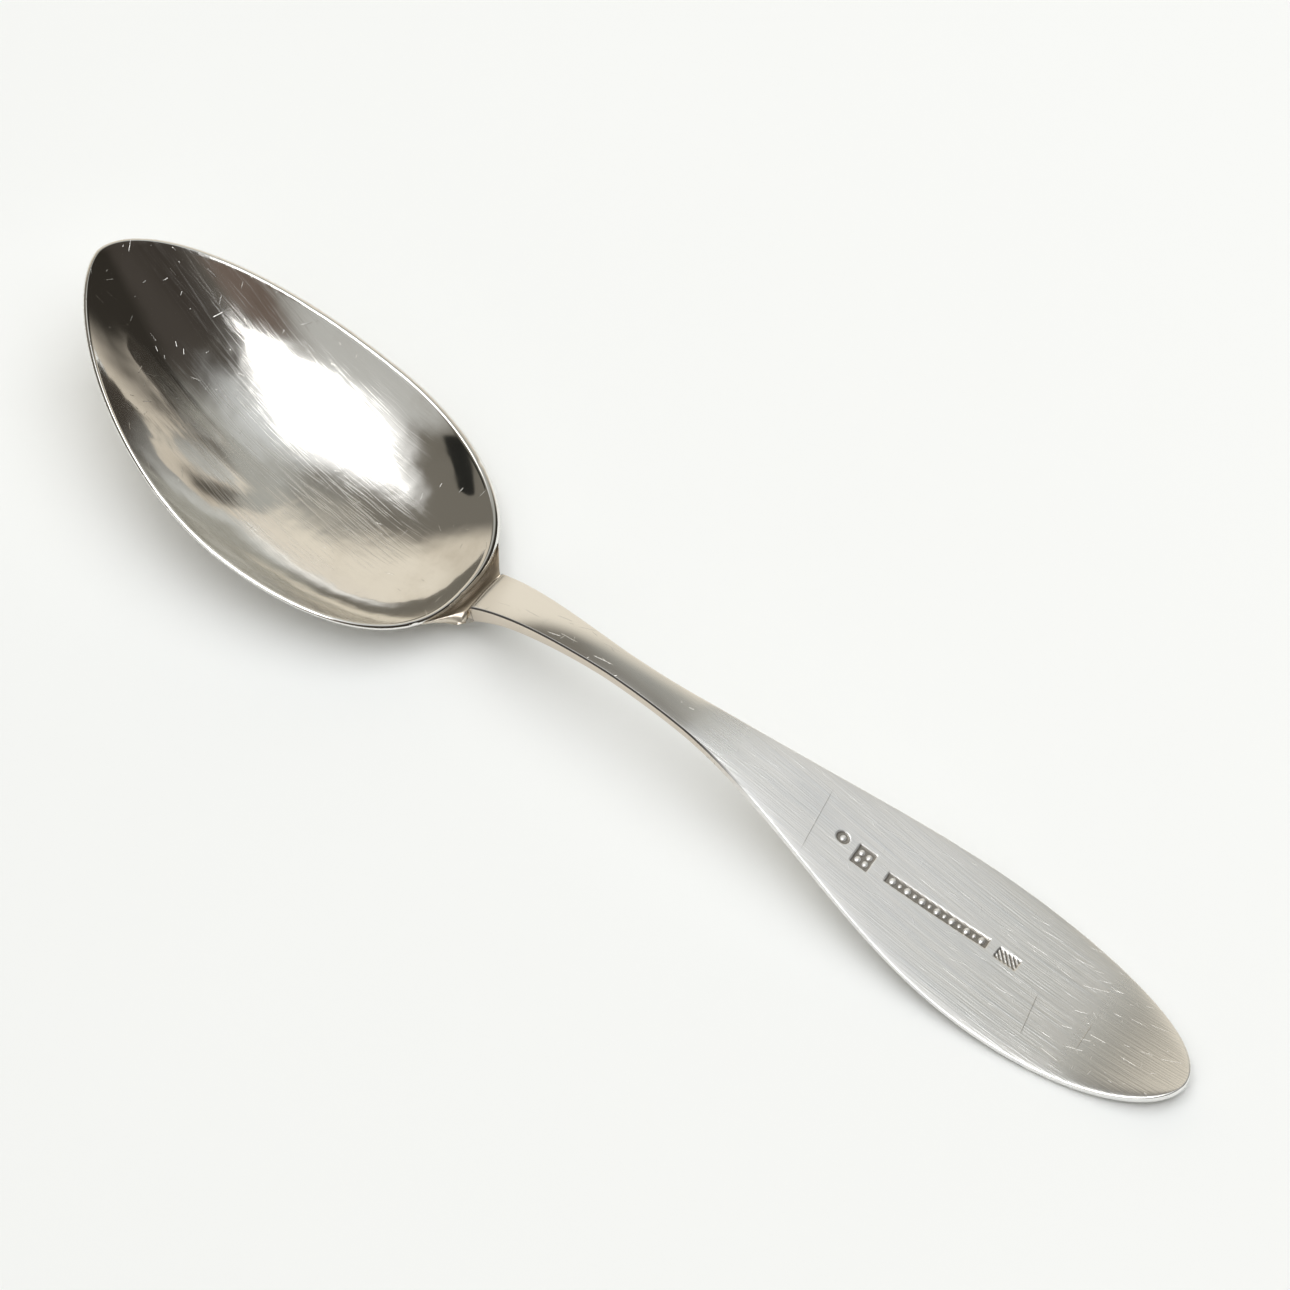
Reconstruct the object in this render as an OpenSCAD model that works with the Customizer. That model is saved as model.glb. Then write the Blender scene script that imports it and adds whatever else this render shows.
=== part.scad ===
/* [Spoon] */
// Length from the bowl's tip to the handle's end
overall_length = 205; // [190:1:220]

/* [Bowl] */
// Length of the bowl from tip to heel
bowl_length = 74; // [69:0.5:79]
// Width of the bowl across its rim
bowl_width = 40.8; // [37:0.1:44]
// Depth of the bowl under the rim where it is widest
bowl_depth = 10.5; // [9:0.5:12]
// Place of the widest line, as a share of the bowl's length from its tip
belly_at = 0.585; // [0.55:0.005:0.62]
// Roundness of the tip: 0.5 is round, more is pointed
tip_power = 0.59; // [0.54:0.005:0.64]
// Slope of the rim, up towards the tip, in degrees
bowl_tilt = 7; // [5:0.5:9]
// Extra rise of the rim at the tip
tip_lift = 5; // [3:0.5:6]
// Sideways shift of the tip, where its left front is worn back
tip_wear = 5; // [0:0.2:6]
// Sideways shift of the heel, to the left
heel_shift = 0.7; // [0:0.1:1.2]
// Sheet thickness at the bowl's bottom
bowl_wall = 0.9; // [0.8:0.1:1.2]
// Thickness of the rim
rim_thickness = 1; // [0.9:0.1:1.3]
// How much thinner the worn rim is, and how much thicker the other
rim_wear = 0.3; // [0:0.05:0.4]
// Extra thickness of the rim at the right of its heel
heel_rim = 0.6; // [0:0.1:0.8]
// Depth of the worn flat under the bowl
back_wear = 0.15; // [0.1:0.05:0.3]
// Steepness of the bowl's side walls: 2 is an even curve, more is flat with a steep rim
side_power = 2.5; // [2.2:0.1:2.8]
// Steepness of the wall at the tip
tip_wall_power = 2; // [1.9:0.1:2.3]
// Steepness of the wall at the heel
heel_wall_power = 3.6; // [3.2:0.1:4]
// Steepness of the wall at the worn left front
worn_wall_power = 1.55; // [1.4:0.05:2.1]

/* [Handle] */
// Width of the handle where it starts at the bowl
front_width = 7.6; // [7:0.2:8.4]
// Thickness of the handle where it starts
front_thickness = 3.3; // [3:0.1:3.7]
// Width of the neck, the narrowest place
neck_width = 4.7; // [4.3:0.1:5.6]
// Thickness of the neck
neck_thickness = 2.4; // [2.1:0.1:2.8]
// Width of the flat end
paddle_width = 23; // [20:0.5:26]
// Thickness of the flat end
paddle_thickness = 1.4; // [1.2:0.1:1.8]
// Thickness at the very end
end_thickness = 1.7; // [1.5:0.1:2.1]
// Length of the half oval that ends the handle
paddle_round = 32.5; // [26:0.5:38]
// Height of the handle's arch over the table
arch_height = 13.8; // [13:0.2:15]
// Lift of the turned-up end
end_lift = 2; // [1:0.2:3]
// Distance of the handle's resting point from its end
rest_from_end = 18.5; // [16:0.5:22]
// Height of the round back of the neck
neck_crown = 0.25; // [0.15:0.05:0.5]
// Height of the eased edges of the flat end
paddle_crown = 0.35; // [0.25:0.05:0.5]

/* [Heel joint] */
// Width of the tongue under the heel, in degrees of the rim's curve
tongue_spread = 15; // [12.5:0.5:17]
// Thickness of the tongue where it leaves the handle
tongue_thickness = 1.9; // [1.5:0.1:2.2]
// Thickness of the tongue's tip
tongue_tip = 0.5; // [0.4:0.1:0.7]
// Reach of the tongue, as a share of the way from heel to the bowl's bottom
tongue_reach = 0.34; // [0.28:0.01:0.36]
// Width of the solder along the bowl's lip, in degrees of the rim's curve
lip_spread = 32; // [27:1:36]
// Length of the soldered valley between the bowl's lip and the handle
valley_length = 2.7; // [2.4:0.1:3.2]
// Depth of the valley under a straight line across it
valley_dip = 0.6; // [0.4:0.05:0.7]
// Height of the handle's start over the bowl's lip
front_step = 2.5; // [2.2:0.1:2.9]
// Extra depth of the handle where it meets the solder
start_depth = 1.1; // [0.8:0.1:1.4]
// Size of the solder fillet around the tongue
bead_size = 0.5; // [0.4:0.05:0.7]
// Clearance at the soldered faces
solder_gap = 0.04; // [0.02:0.01:0.06]

/* [Hidden] */

silver = [0.78, 0.77, 0.74];
worn_silver = [0.72, 0.71, 0.69];
solder_tone = [0.55, 0.48, 0.4];

end_x = overall_length / 2;
heel_power = tip_power * (1 - belly_at) / belly_at;
floor_z = bowl_wall - back_wear;
rise_at_belly = (1 - belly_at) * bowl_length * tan(bowl_tilt) + tip_lift * pow(1 - belly_at, 2);
heel_z = floor_z + bowl_depth - rise_at_belly;
// The rim's outer edge at the tip is the spoon's end
tip_slope = atan(tip_wall_power * (rim_z(0) - floor_z) / (belly_at * bowl_length));
belly_x = -end_x + rim_thickness * sin(tip_slope) + belly_at * bowl_length;
// Keeps the bowl's outside centred when one rim is thicker
wear_shift = 0.79 * rim_wear;

lip = outside(1, 180);
front_x = lip[0] + valley_length;
front_z = lip[2] + front_step;
reach_x = end_x - front_x;
neck_x = front_x + 0.196 * reach_x;
arch_x = front_x + 0.306 * reach_x;
rest_x = end_x - rest_from_end;
paddle_x = end_x - paddle_round;
rest_z = thick(rest_x) + 0.02;
floor_reach = 1 - tongue_reach;
round_reach = 1 - 0.55 * tongue_reach;

// Shares of the way from the bowl's bottom to its rim
bowl_steps = [0.12, 0.24, 0.36, 0.48, 0.6, 0.7, 0.79, 0.87, 0.94, 1];
bowl_turns = 72;
handle_steps = 44;
// Places across the handle, closer together at its edges
across = [for (i = [-5 : 5]) sin(18 * i)];

function mix(a, b, f) = a + (b - a) * f;
function ease(f) = (1 - cos(180 * min(1, max(0, f)))) / 2;
function unit(v) = v / norm(v);
function flat_list(l) = [for (a = l) for (b = a) b];
function middle(l) = [for (k = [0 : 2]) [for (p = l) p[k]] * [for (p = l) 1] / len(l)];

// Half width of the rim and the shift of its middle, t from tip to heel
function span(t) =
    bowl_width / 2 * pow(t / belly_at, tip_power) * pow((1 - t) / (1 - belly_at), heel_power);
function lean(t) =
    tip_wear * pow(max(0, 1 - t / belly_at), 1.65)
    - heel_shift * pow(max(0, t - belly_at) / (1 - belly_at), 2);
function rim_z(t) = heel_z + (1 - t) * bowl_length * tan(bowl_tilt) + tip_lift * pow(1 - t, 2);
// Worn at the left front, from the foot of the wall upwards
function wall_power(r, s) =
    let (
        end_power = cos(s) > 0 ? tip_wall_power : heel_wall_power,
        worn = ease(2 * max(0, cos(s)) * max(0, -sin(s))) * ease(r / 0.65)
    )
    mix(mix(side_power, end_power, pow(cos(s), 2)), worn_wall_power, worn);

// The hollow: r from the bottom to the rim, s around it from the tip
function inside(r, s) =
    let (
        t = (1 - cos(s)) / 2,
        x = (t - belly_at) * bowl_length,
        half_oval = (x < 0 ? belly_at : 1 - belly_at) * bowl_length,
        side = sin(s) < 0 ? -1 : 1,
        oval = side * bowl_width / 2 * sqrt(max(0, 1 - pow(x / half_oval, 2))),
        edge = lean(t) + side * span(t)
    )
    [
        belly_x + r * x,
        r * mix(oval, edge, r * r) - wear_shift,
        floor_z + (rim_z(t) - floor_z) * pow(r, wall_power(r, s))
    ];
function along_wall(r, s) = unit(inside(min(1, r + 0.01), s) - inside(r - 0.01, s));
function wall_up(r, s) =
    let (n = cross(along_wall(r, s), inside(r, s + 1) - inside(r, s - 1)))
    unit(n[2] < 0 ? -n : n);
// Thickest between the right side and the heel
function heel_roll(s) = heel_rim * 3.2 * pow(max(0, -cos(s)), 3) * max(0, sin(s));
function sheet(r, s) =
    mix(bowl_wall, rim_thickness + rim_wear * sin(s) + heel_roll(s), pow(r, 4));
// The back of the bowl, gap is a clearance outside it
function back(r, s, gap) = inside(r, s) - wall_up(r, s) * (sheet(r, s) + gap);
function outside(r, s) = let (p = back(r, s, 0)) [p[0], p[1], max(0, p[2])];
function crest(s) =
    mix(inside(1, s), outside(1, s), 0.5) + along_wall(1, s) * 0.3 * sheet(1, s);

// The handle seen from above and from the side
function half_width(x) =
    x < neck_x
    ? mix(neck_width, front_width, pow((neck_x - x) / (neck_x - front_x), 1.3)) / 2
    : x < paddle_x
    ? mix(neck_width, paddle_width, ease(pow((x - neck_x) / (paddle_x - neck_x), 1.12))) / 2
    : paddle_width / 2 * sqrt(max(0, 1 - pow((x - paddle_x) / paddle_round, 2)));
function thick(x) =
    x < neck_x
    ? mix(front_thickness, neck_thickness, ease((x - front_x) / (neck_x - front_x)))
    : x < paddle_x
    ? mix(neck_thickness, paddle_thickness, ease((x - neck_x) / (paddle_x - neck_x)))
    : mix(paddle_thickness, end_thickness, ease((x - paddle_x) / paddle_round));
function top_z(x) =
    x < arch_x
    ? mix(front_z, arch_height, 1 - pow(1 - (x - front_x) / (arch_x - front_x), 4.8))
    : x < rest_x
    ? mix(arch_height, rest_z, ease(pow((x - arch_x) / (rest_x - arch_x), 0.85)))
    : rest_z + end_lift * pow((x - rest_x) / rest_from_end, 2);
function flatness(x) = ease((x - neck_x) / (paddle_x - neck_x));
function crown(x) = mix(neck_crown, paddle_crown, flatness(x));
function crown_power(x) = mix(2, 6, flatness(x));
function under_z(x) = top_z(x) - thick(x) - start_depth * pow(max(0, 1 - (x - front_x) / 9), 2);

// One ring of the handle: its top line at xt, its underside at xb
function section(xt, zt, rise, power, xb, zb, w) = concat(
    [for (v = across) [xt, w * v, zt - rise * pow(abs(v), power)]],
    [for (i = [len(across) - 1 : -1 : 0])
        [xb, w * across[i], zb + 0.3 * pow(abs(across[i]), 4)]]
);
function stem_ring(x) =
    let (xb = x + 0.9 * pow(max(0, 1 - (x - front_x) / 9), 2))
    section(x, top_z(x), crown(x), crown_power(x), xb, under_z(xb), half_width(x));

function tongue_half(r) =
    tongue_spread / 2
    * (r > round_reach ? 1 : sqrt(1 - pow((round_reach - r) / (round_reach - floor_reach), 2)));
function tongue_thick(r) =
    mix(tongue_tip, tongue_thickness, pow((r - floor_reach) / tongue_reach, 1.3));
function tongue_under(r, s, v) =
    back(r, s, solder_gap + tongue_thick(r) * (1 - 0.6 * pow(abs(v), 3)));
function tongue_ring(r) = concat(
    [for (v = across) back(r, 180 - v * tongue_half(r), solder_gap)],
    [for (i = [len(across) - 1 : -1 : 0])
        tongue_under(r, 180 - across[i] * tongue_half(r), across[i])]
);

// The slope that carries the solder, from the tongue up to the handle's start
saddle_low = section(lip[0] + 0.45, lip[2] - 1.3, 0.1, 2, lip[0] + 1.9, lip[2] - 1.7, 5);
saddle_high = section(
    front_x - 0.8, front_z - 2.3, 0.1, 2, front_x - 0.2, under_z(front_x) - 0.1, 4.5
);
front_ring = section(
    front_x, front_z - 0.35, 0.5, 2, front_x + 0.9, under_z(front_x + 0.9), front_width / 2
);

// Skin through rings of points, closed at both ends around one point
module loft(first, rings, last) {
    m = len(rings[0]);
    n = len(rings);
    points = concat([first], flat_list(rings), [last]);
    function at(i, j) = 1 + i * m + j % m;
    faces = concat(
        [for (j = [0 : m - 1]) [0, at(0, j + 1), at(0, j)]],
        [for (i = [0 : n - 2]) for (j = [0 : m - 1]) [at(i, j), at(i + 1, j + 1), at(i + 1, j)]],
        [for (i = [0 : n - 2]) for (j = [0 : m - 1]) [at(i, j), at(i, j + 1), at(i + 1, j + 1)]],
        [for (j = [0 : m - 1]) [len(points) - 1, at(n - 1, j), at(n - 1, j + 1)]]
    );
    polyhedron(points, faces, convexity = 6);
}

module bowl() {
    turns = [for (j = [0 : bowl_turns - 1]) 360 * j / bowl_turns];
    steps_down = [for (i = [len(bowl_steps) - 1 : -1 : 0]) bowl_steps[i]];
    rings = concat(
        [for (r = bowl_steps) [for (s = turns) outside(r, s)]],
        [[for (s = turns) crest(s)]],
        [for (r = steps_down) [for (s = turns) inside(r, s)]]
    );
    color(silver) loft([belly_x, -wear_shift, 0], rings, [belly_x, -wear_shift, floor_z]);
}

module handle() {
    reach = [for (i = [1 : 9]) mix(floor_reach, 0.955, i / 9)];
    stations = [for (i = [1 : handle_steps])
        front_x + 0.4 + (reach_x - 0.45) * sin(90 * pow(i / handle_steps, 1.2))];
    rings = concat(
        [for (r = reach) tongue_ring(r)],
        [saddle_low, saddle_high, front_ring],
        [stem_ring(front_x + 0.4)],
        [for (x = stations) stem_ring(x)]
    );
    tip = back(floor_reach, 180, solder_gap + tongue_tip / 2);
    last = [end_x, 0, top_z(end_x) - end_thickness / 2];
    color(worn_silver) loft(tip, rings, last);
}

// Fills the valley between the bowl's lip and the handle's start
module lip_solder() {
    g = solder_gap;
    rings = [for (k = [len(across) - 1 : -1 : 0])
        let (
            v = across[k],
            s = 180 - asin(v) / 90 * lip_spread / 2,
            low = saddle_low[k],
            high = saddle_high[k],
            front = front_ring[k],
            edge = back(0.996, s, g),
            shelf = mix(high, front, 0.85) + [-g, 0, 0]
        )
        [
            back(0.968, s, g),
            edge,
            mix(edge, shelf, 0.45) - [0, 0.4 * v, valley_dip * (1 - 0.5 * v * v)],
            shelf,
            mix(high, front, 0.1) + [-g, 0, g],
            low + [0, 0, g]
        ]];
    // The valley's floor is over the slope's foot, so the caps meet between the two
    function cap(ring) = mix(ring[2], ring[5], 0.5);
    color(solder_tone) loft(cap(rings[0]), rings, cap(rings[len(rings) - 1]));
}

// Fillet along the tongue's edge on the back of the bowl
module tongue_solder() {
    straight = [for (i = [0 : 5]) [mix(0.93, round_reach, i / 6), 0]];
    turn = [for (i = [0 : 8]) [round_reach - (round_reach - floor_reach) * sin(90 * i / 8), 90 * i / 8]];
    half = concat(straight, turn);
    path = concat(
        [for (p = half) [p[0], p[1], 1]],
        [for (i = [len(half) - 2 : -1 : 0]) [half[i][0], half[i][1], -1]]
    );
    heel_reach = (1 - belly_at) * bowl_length;
    rings = [for (p = path)
        let (
            r = p[0],
            turned = p[1],
            side = p[2],
            open = tongue_spread / 2 * cos(turned),
            // Degrees around the rim for one millimetre across
            fan = 2 / norm(back(r, 181 - side * open, 0) - back(r, 179 - side * open, 0)),
            near_s = 180 - side * (open + 0.06 * fan),
            far_s = 180 - side * (open + bead_size * cos(turned) * fan),
            near_r = r - 0.06 / heel_reach * sin(turned),
            far_r = r - bead_size / heel_reach * sin(turned)
        )
        [
            back(near_r, near_s, solder_gap / 2),
            back(near_r, near_s, solder_gap + tongue_thick(r) * 0.4),
            back(far_r, far_s, solder_gap / 2)
        ]];
    color(solder_tone) loft(middle(rings[0]), rings, middle(rings[len(rings) - 1]));
}

bowl();
handle();
lip_solder();
tongue_solder();
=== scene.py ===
import math

import bpy
import numpy as np
from mathutils import Matrix, Vector


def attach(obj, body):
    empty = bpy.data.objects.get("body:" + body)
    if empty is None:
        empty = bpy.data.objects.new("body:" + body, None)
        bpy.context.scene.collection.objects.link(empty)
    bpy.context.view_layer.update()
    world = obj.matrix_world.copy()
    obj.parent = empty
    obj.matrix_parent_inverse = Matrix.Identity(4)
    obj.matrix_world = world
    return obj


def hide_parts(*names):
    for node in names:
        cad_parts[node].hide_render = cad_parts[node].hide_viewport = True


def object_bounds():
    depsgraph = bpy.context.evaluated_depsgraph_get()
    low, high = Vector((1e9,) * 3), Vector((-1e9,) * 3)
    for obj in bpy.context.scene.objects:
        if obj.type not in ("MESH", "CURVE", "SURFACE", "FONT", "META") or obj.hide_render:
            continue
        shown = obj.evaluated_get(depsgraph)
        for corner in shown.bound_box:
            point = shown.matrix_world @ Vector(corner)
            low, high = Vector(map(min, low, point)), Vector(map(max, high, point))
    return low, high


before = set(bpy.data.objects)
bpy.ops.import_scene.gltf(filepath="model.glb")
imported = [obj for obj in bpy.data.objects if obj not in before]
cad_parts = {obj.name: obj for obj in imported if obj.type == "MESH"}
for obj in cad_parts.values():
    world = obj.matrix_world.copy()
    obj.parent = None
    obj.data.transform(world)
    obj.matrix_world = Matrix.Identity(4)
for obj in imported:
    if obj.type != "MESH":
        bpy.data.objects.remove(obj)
cadLow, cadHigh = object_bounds()
mm = 0.001
print("frame loaded:", ", ".join(sorted(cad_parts)))


# A node socket that takes part in sums, so that one rule can run in Python and as nodes
class Wire:
    __array_ufunc__ = None  # keeps numpy numbers from taking the sum over

    def __init__(self, tree, socket):
        self.tree = tree
        self.socket = socket

    def __add__(self, other):
        return calc("ADD", self, other)

    def __sub__(self, other):
        return calc("SUBTRACT", self, other)

    def __rsub__(self, other):
        return calc("SUBTRACT", other, self)

    def __mul__(self, other):
        return calc("MULTIPLY", self, other)

    def __truediv__(self, other):
        return calc("DIVIDE", self, other)

    def __rtruediv__(self, other):
        return calc("DIVIDE", other, self)

    def __neg__(self):
        return calc("MULTIPLY", self, -1.0)

    __radd__ = __add__
    __rmul__ = __mul__


plainCalc = {
    "ADD": np.add, "SUBTRACT": np.subtract, "MULTIPLY": np.multiply, "DIVIDE": np.divide,
    "POWER": np.power, "SQRT": np.sqrt, "SINE": np.sin, "COSINE": np.cos,
    "MAXIMUM": np.maximum, "MINIMUM": np.minimum, "ABSOLUTE": np.abs,
    "GREATER_THAN": lambda a, b: np.where(np.asarray(a) > b, 1.0, 0.0),
}


def calc(operation, *terms):
    wires = [t for t in terms if isinstance(t, Wire)]
    if not wires:
        return plainCalc[operation](*terms)
    tree = wires[0].tree
    node = addNode(tree, "ShaderNodeMath", dict(enumerate(terms)), operation=operation)
    return Wire(tree, node.outputs[0])


def plug(tree, value, socket):
    if isinstance(value, Wire):
        value = value.socket
    if isinstance(value, bpy.types.NodeSocket):
        tree.links.new(value, socket)
    else:
        socket.default_value = value


def plugAll(tree, node, plugs):
    for key, value in plugs.items():
        plug(tree, value, node.inputs[key])


def addNode(tree, kind, plugs=None, **settings):
    node = tree.nodes.new(kind)
    for key, value in settings.items():
        setattr(node, key, value)
    plugAll(tree, node, plugs or {})
    return node


def mixed(a, b, share):
    return a + (b - a) * share


def between(value, low, high):
    return calc("MINIMUM", calc("MAXIMUM", value, low), high)


def fade(value, low, high):  # 0 below low, 1 over high, smooth between
    share = between((value - low) / (high - low), 0.0, 1.0)
    return share * share * (3.0 - 2.0 * share)


def fadeMm(place, ends):  # the same between two places in millimetres
    return fade(place, ends[0] * mm, ends[1] * mm)


def ease(share):  # 0 to 1 along a cosine, level at both ends
    return 0.5 - calc("COSINE", between(share, 0.0, 1.0) * math.pi) * 0.5


def addPoint(a, b, factor=1.0):
    return [p + q * factor for p, q in zip(a, b)]


def mixPoint(a, b, share):
    return [mixed(p, q, share) for p, q in zip(a, b)]


def unitOf(a):
    size = calc("SQRT", a[0] * a[0] + a[1] * a[1] + a[2] * a[2])
    return [p / size for p in a]


def crossOf(a, b):
    return [
        a[1] * b[2] - a[2] * b[1],
        a[2] * b[0] - a[0] * b[2],
        a[0] * b[1] - a[1] * b[0],
    ]


# The bowl's rule, lengths in millimetres
bowlSizes = {
    "length": 74.0, "width": 40.8, "depth": 10.5, "bellyAt": 0.585, "tipPower": 0.59,
    "tilt": 7.0, "tipLift": 5.0, "tipWear": 5.0, "tipWearPower": 1.65, "heelShift": 0.7,
    "wall": 0.9, "rim": 1.0, "rimWear": 0.3, "rimShift": 0.79, "heelRim": 0.6,
    "heelRoll": 3.2, "backWear": 0.15, "sidePower": 2.5, "tipWallPower": 2.0,
    "heelWallPower": 3.6, "wornWallPower": 1.55, "wornFoot": 0.65,
}


def bowlFigures(sizes, tipX):
    f = dict(sizes)
    f["rise"] = f["length"] * math.tan(math.radians(f["tilt"]))
    f["heelPower"] = f["tipPower"] * (1 - f["bellyAt"]) / f["bellyAt"]
    f["floorZ"] = f["wall"] - f["backWear"]
    back = 1 - f["bellyAt"]
    f["heelZ"] = f["floorZ"] + f["depth"] - back * f["rise"] - f["tipLift"] * back * back
    tipHeight = f["heelZ"] + f["rise"] + f["tipLift"] - f["floorZ"]
    slope = math.atan(f["tipWallPower"] * tipHeight / (f["bellyAt"] * f["length"]))
    f["bellyX"] = tipX + f["rim"] * math.sin(slope) + f["bellyAt"] * f["length"]
    f["sideShift"] = f["rimShift"] * f["rimWear"]
    return f


bowlRule = bowlFigures(bowlSizes, cadLow.x / mm)


# A point of the hollow: r from the bottom to the rim, s around it from the tip, f the sizes
def hollow(r, s, f):
    turn = calc("COSINE", s)
    t = (1.0 - turn) * 0.5
    x = (t - f["bellyAt"]) * f["length"]
    towardHeel = calc("GREATER_THAN", x, 0.0)
    halfOval = mixed(f["bellyAt"], 1.0 - f["bellyAt"], towardHeel) * f["length"]
    aside = calc("SINE", s)
    side = calc("GREATER_THAN", aside, 0.0) * 2.0 - 1.0
    share = x / halfOval
    oval = calc("SQRT", calc("MAXIMUM", 1.0 - share * share, 0.0)) * f["width"] * 0.5
    near = calc("POWER", t / f["bellyAt"], f["tipPower"])
    far = calc("POWER", calc("MAXIMUM", 1.0 - t, 0.0) / (1.0 - f["bellyAt"]), f["heelPower"])
    tipward = calc("MAXIMUM", 1.0 - t / f["bellyAt"], 0.0)
    heelward = calc("MAXIMUM", t - f["bellyAt"], 0.0) / (1.0 - f["bellyAt"])
    lean = calc("POWER", tipward, f["tipWearPower"]) * f["tipWear"]
    lean = lean - heelward * heelward * f["heelShift"]
    edge = lean + side * near * far * f["width"] * 0.5
    rimZ = f["heelZ"] + (1.0 - t) * f["rise"] + (1.0 - t) * (1.0 - t) * f["tipLift"]
    endPower = mixed(f["heelWallPower"], f["tipWallPower"], calc("GREATER_THAN", turn, 0.0))
    # Worn flatter at the left front, from the foot of the wall upwards
    leftFront = calc("MAXIMUM", turn, 0.0) * calc("MAXIMUM", -aside, 0.0) * 2.0
    worn = ease(leftFront) * ease(r / f["wornFoot"])
    power = mixed(mixed(f["sidePower"], endPower, turn * turn), f["wornWallPower"], worn)
    climb = calc("POWER", r, power)
    return [
        r * x + f["bellyX"],
        r * mixed(side * oval, edge, r * r) - f["sideShift"],
        climb * (rimZ - f["floorZ"]) + f["floorZ"],
    ]


# The direction up the wall and the wall's own up, from neighbouring points
def wallFrame(r, s, f):
    step = 0.01
    middle = calc("MAXIMUM", r, step * 1.2)
    above = hollow(calc("MINIMUM", middle + step, 1.0), s, f)
    along = unitOf(addPoint(above, hollow(middle - step, s, f), -1.0))
    turn = math.radians(1.0)
    around = addPoint(hollow(middle, s + turn, f), hollow(middle, s - turn, f), -1.0)
    return along, unitOf(crossOf(around, along))


def sheetAt(r, s, f):
    side = calc("SINE", s)
    heelward = calc("MAXIMUM", -calc("COSINE", s), 0.0)
    roll = heelward * heelward * heelward * calc("MAXIMUM", side, 0.0) * f["heelRoll"]
    rim = f["rim"] + side * f["rimWear"] + roll * f["heelRim"]
    return mixed(f["wall"], rim, r * r * r * r)


def backOf(r, s, gap):
    up = wallFrame(r, s, bowlRule)[1]
    return addPoint(hollow(r, s, bowlRule), up, -(sheetAt(r, s, bowlRule) + gap))


def addObject(name, data):
    thing = bpy.data.objects.new(name, data)
    bpy.context.scene.collection.objects.link(thing)
    return thing


# A finished mesh goes into the scene, smooth, and rides on its body
def placeMesh(name, mesh, material, body="root", replaces=()):
    piece = addObject(name, mesh)
    if material and not mesh.materials:
        mesh.materials.append(material)
    for face in mesh.polygons:
        face.use_smooth = True
    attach(piece, body)
    if replaces:
        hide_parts(*replaces)
    print("piece", name, len(mesh.polygons), "faces")


# Skin through closed rings of points, shut at both ends around one point
def loftMesh(name, first, rings, last):
    rings = np.asarray(rings, float)
    count, around = rings.shape[:2]
    points = np.concatenate([[first], rings.reshape(-1, 3), [last]]) * mm
    pairs = [(j, (j + 1) % around) for j in range(around)]
    faces = [(0, 1 + k, 1 + j) for j, k in pairs]
    for i in range(count - 1):
        low, high = 1 + i * around, 1 + (i + 1) * around
        faces += [(low + j, low + k, high + k, high + j) for j, k in pairs]
    low = 1 + (count - 1) * around
    faces += [(len(points) - 1, low + j, low + k) for j, k in pairs]
    mesh = bpy.data.meshes.new(name)
    mesh.from_pydata(points.tolist(), [], faces)
    mesh.validate()
    return mesh


def storeShare(mesh, name, values):
    store = mesh.attributes.new(name, "FLOAT", "POINT")
    store.data.foreach_set("value", np.asarray(values, np.float32))


# A geometry tree with named inputs, and the piece that it makes
def newGeometryTree(name, inputs):
    tree = bpy.data.node_groups.new(name, "GeometryNodeTree")
    tree.interface.new_socket("Mesh", in_out="OUTPUT", socket_type="NodeSocketGeometry")
    known = {}
    for label, kind in inputs.items():
        item = tree.interface.new_socket(label, in_out="INPUT", socket_type=kind)
        known[label] = item.identifier
    entry = tree.nodes.new("NodeGroupInput")
    leave = tree.nodes.new("NodeGroupOutput")
    return tree, known, entry, leave


def splitPlace(tree, place):
    parts = addNode(tree, "ShaderNodeSeparateXYZ", {0: place})
    return [Wire(tree, socket) for socket in parts.outputs]


def joinPlace(tree, values):
    return addNode(tree, "ShaderNodeCombineXYZ", dict(enumerate(values))).outputs[0]


def treeNoise(tree, place, size, detail=2.0):
    plugs = {0: place, "Scale": 1.0 / size}
    shrink = addNode(tree, "ShaderNodeVectorMath", plugs, operation="SCALE")
    plugs = {"Vector": shrink.outputs[0], "Scale": 1.0, "Detail": detail}
    return Wire(tree, addNode(tree, "ShaderNodeTexNoise", plugs).outputs[0])


def endTree(tree, leave, geometry, material):
    realize = addNode(tree, "GeometryNodeRealizeInstances", {0: geometry})
    smooth = addNode(tree, "GeometryNodeSetShadeSmooth", {0: realize.outputs[0]})
    plugs = {"Geometry": smooth.outputs[0], "Material": material}
    paint = addNode(tree, "GeometryNodeSetMaterial", plugs)
    tree.links.new(paint.outputs[0], leave.inputs[0])


def growMesh(name, tree, known, values, start=None):
    maker = addObject(name + "Maker", start or bpy.data.meshes.new(name + "Start"))
    modifier = maker.modifiers.new(name, "NODES")
    modifier.node_group = tree
    for label, value in values.items():
        modifier[known[label]] = value
    bpy.context.view_layer.update()
    deps = bpy.context.evaluated_depsgraph_get()
    mesh = bpy.data.meshes.new_from_object(
        maker.evaluated_get(deps), preserve_all_data_layers=True, depsgraph=deps
    )
    maker.modifiers.clear()
    bpy.data.objects.remove(maker)
    mesh.name = name
    return mesh


# A material with one shader, and the place that its textures read
def newMaterial(name):
    material = bpy.data.materials.new(name)
    material.use_nodes = True
    tree = material.node_tree
    tree.nodes.clear()
    shader = addNode(tree, "ShaderNodeBsdfPrincipled")
    addNode(tree, "ShaderNodeOutputMaterial", {0: shader.outputs[0]})
    return material, tree, shader, addNode(tree, "ShaderNodeTexCoord").outputs["Object"]


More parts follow.
